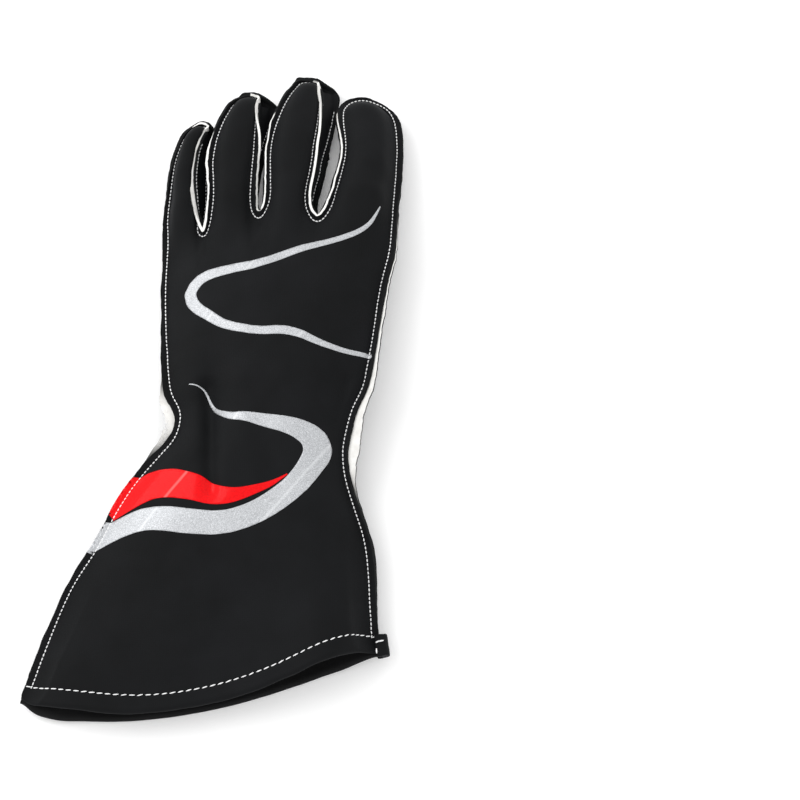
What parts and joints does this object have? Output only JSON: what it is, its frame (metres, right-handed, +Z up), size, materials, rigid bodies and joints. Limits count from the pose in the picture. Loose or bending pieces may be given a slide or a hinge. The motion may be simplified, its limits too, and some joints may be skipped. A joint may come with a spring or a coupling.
{
  "type": "karting glove",
  "caption": "Left-hand karting glove with seams sewn on the outside, strips between the fingers and a long flared cuff, lying palm down.",
  "frame": {"origin": "middle of the underside of the bounding box, on the surface that the glove lies on", "axes": "+Z up off the palm, +Y from the cuff towards the fingertips, +X towards the thumb side"},
  "size_m": [0.1864, 0.3482, 0.0318],
  "materials": {
    "knit": "smooth black knit with a white foam backing",
    "palm_cloth": "soft black cloth with a white backing",
    "silver_film": "fine-grained metallic print",
    "red_film": "glossy print"
  },
  "bodies": {
    "root": {"back_panel": "knit", "palm_panel": "palm_cloth", "side_strip_ring_little": "knit", "side_strip_middle_ring": "knit", "side_strip_index_middle": "knit", "thumb": "palm_cloth", "corner_tab": "knit", "upper_stripe": "silver_film", "lower_stripe": "silver_film", "red_flash": "red_film"}
  },
  "joints": []
}
